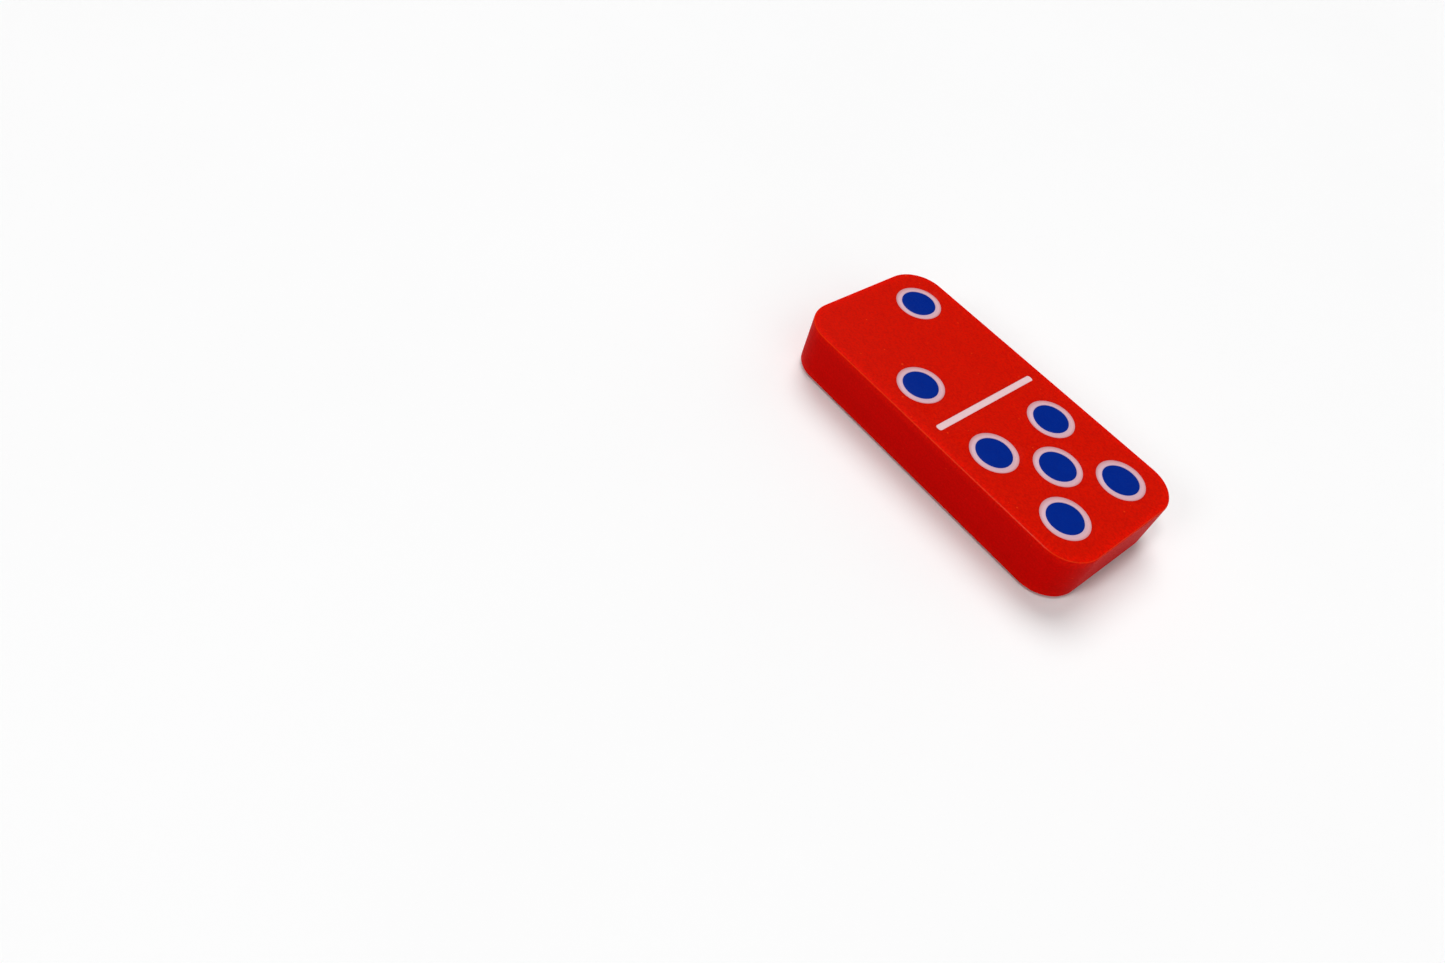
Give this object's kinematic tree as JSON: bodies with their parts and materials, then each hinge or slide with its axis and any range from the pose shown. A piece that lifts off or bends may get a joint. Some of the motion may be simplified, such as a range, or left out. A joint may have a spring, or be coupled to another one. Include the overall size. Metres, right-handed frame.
{
  "type": "domino tile",
  "caption": "Rectangular game tile with rounded corners, inlaid ringed pips and a divider bar on its face, and a raised star ornament on its back.",
  "frame": {"origin": "centre of the tile's outline, at the level of the crest of the raised ornament that it lies on", "axes": "+Z out of the pip face, +X along the tile towards the half with five pips, +Y across the tile"},
  "size_m": [0.05, 0.024, 0.0081],
  "materials": {
    "red_plastic": "satin moulded red plastic with a fine speckled grain",
    "white_enamel": "satin white inlay with a faint pink cast from the red plastic round it",
    "blue_enamel": "smooth deep blue inlay with a soft gloss"
  },
  "bodies": {
    "root": {"tile_body": "red_plastic", "divider_bar": "white_enamel", "ornament_field": "white_enamel", "ornament_outline": "blue_enamel", "ornament_window_rim": "blue_enamel", "two_outer_upper_ring": "white_enamel", "two_inner_lower_ring": "white_enamel", "five_centre_ring": "white_enamel", "five_inner_upper_ring": "white_enamel", "five_inner_lower_ring": "white_enamel", "five_outer_upper_ring": "white_enamel", "five_outer_lower_ring": "white_enamel", "two_outer_upper_disc": "blue_enamel", "two_inner_lower_disc": "blue_enamel", "five_centre_disc": "blue_enamel", "five_inner_upper_disc": "blue_enamel", "five_inner_lower_disc": "blue_enamel", "five_outer_upper_disc": "blue_enamel", "five_outer_lower_disc": "blue_enamel"}
  },
  "joints": []
}
